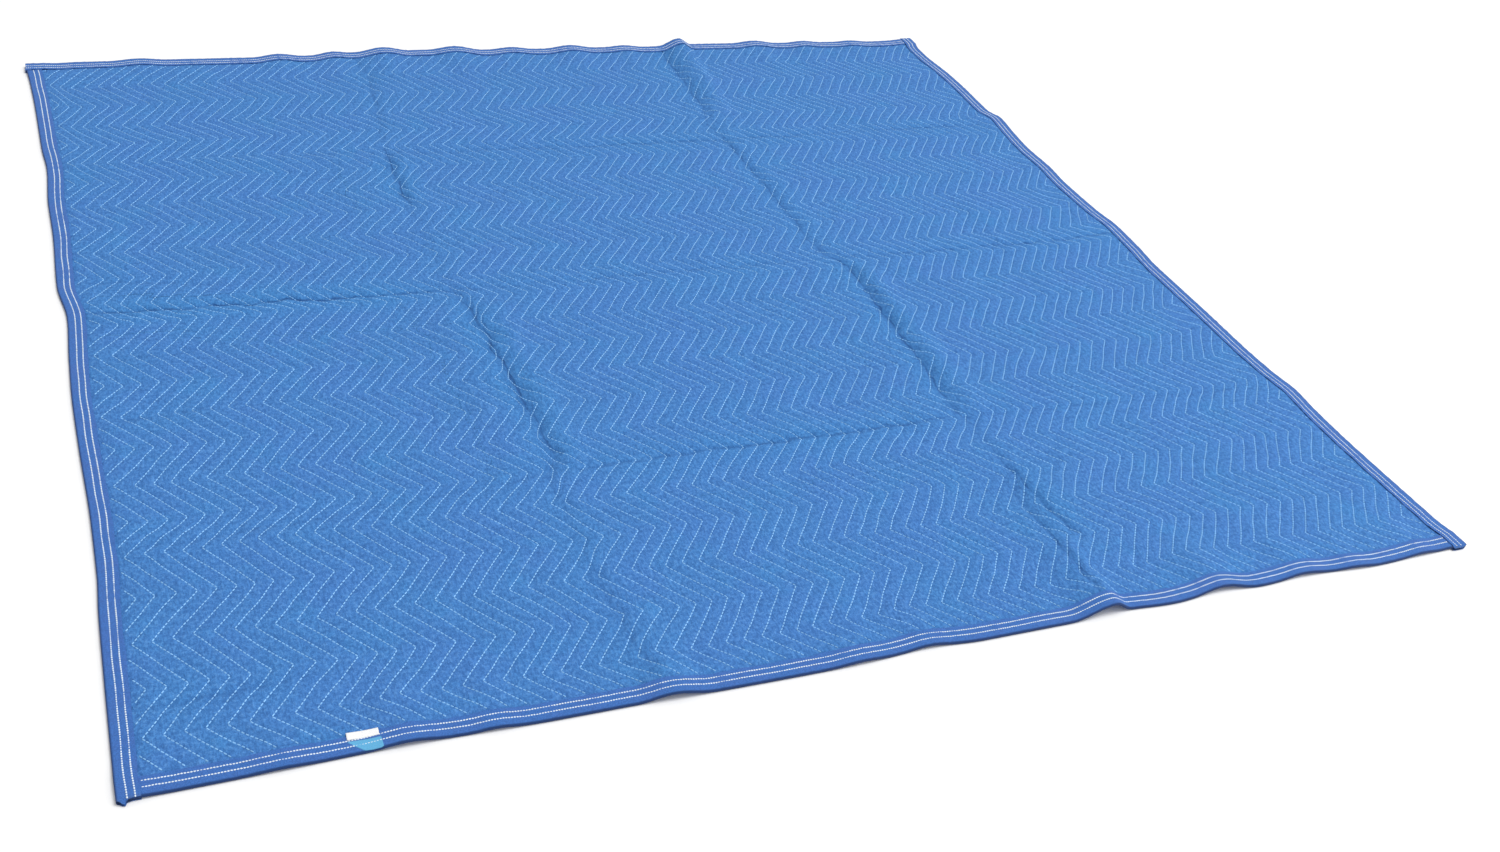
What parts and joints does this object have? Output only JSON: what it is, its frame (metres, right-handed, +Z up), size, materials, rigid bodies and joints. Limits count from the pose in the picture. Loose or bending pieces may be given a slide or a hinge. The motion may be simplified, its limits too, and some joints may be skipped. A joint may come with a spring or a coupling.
{
  "type": "moving blanket",
  "caption": "Quilted rectangular moving blanket laid open, with zigzag stitching, folded tape binding and old fold creases.",
  "frame": {"origin": "on the floor, below the middle of the whole blanket's bounding box", "axes": "+X to the right across the blanket, its longest side; +Y from the labelled front edge to the back; +Z up"},
  "size_m": [2.0372, 1.868, 0.0197],
  "materials": {
    "quilted_cloth": "matte non-woven cloth",
    "binding_tape": "matte woven tape",
    "label_cloth": "smooth woven label",
    "tab_cloth": "smooth woven tab"
  },
  "bodies": {
    "root": {"quilted_panel": "quilted_cloth", "binding_front": "binding_tape", "binding_back": "binding_tape", "binding_left": "binding_tape", "binding_right": "binding_tape", "label": "label_cloth", "label_tab": "tab_cloth"}
  },
  "joints": []
}
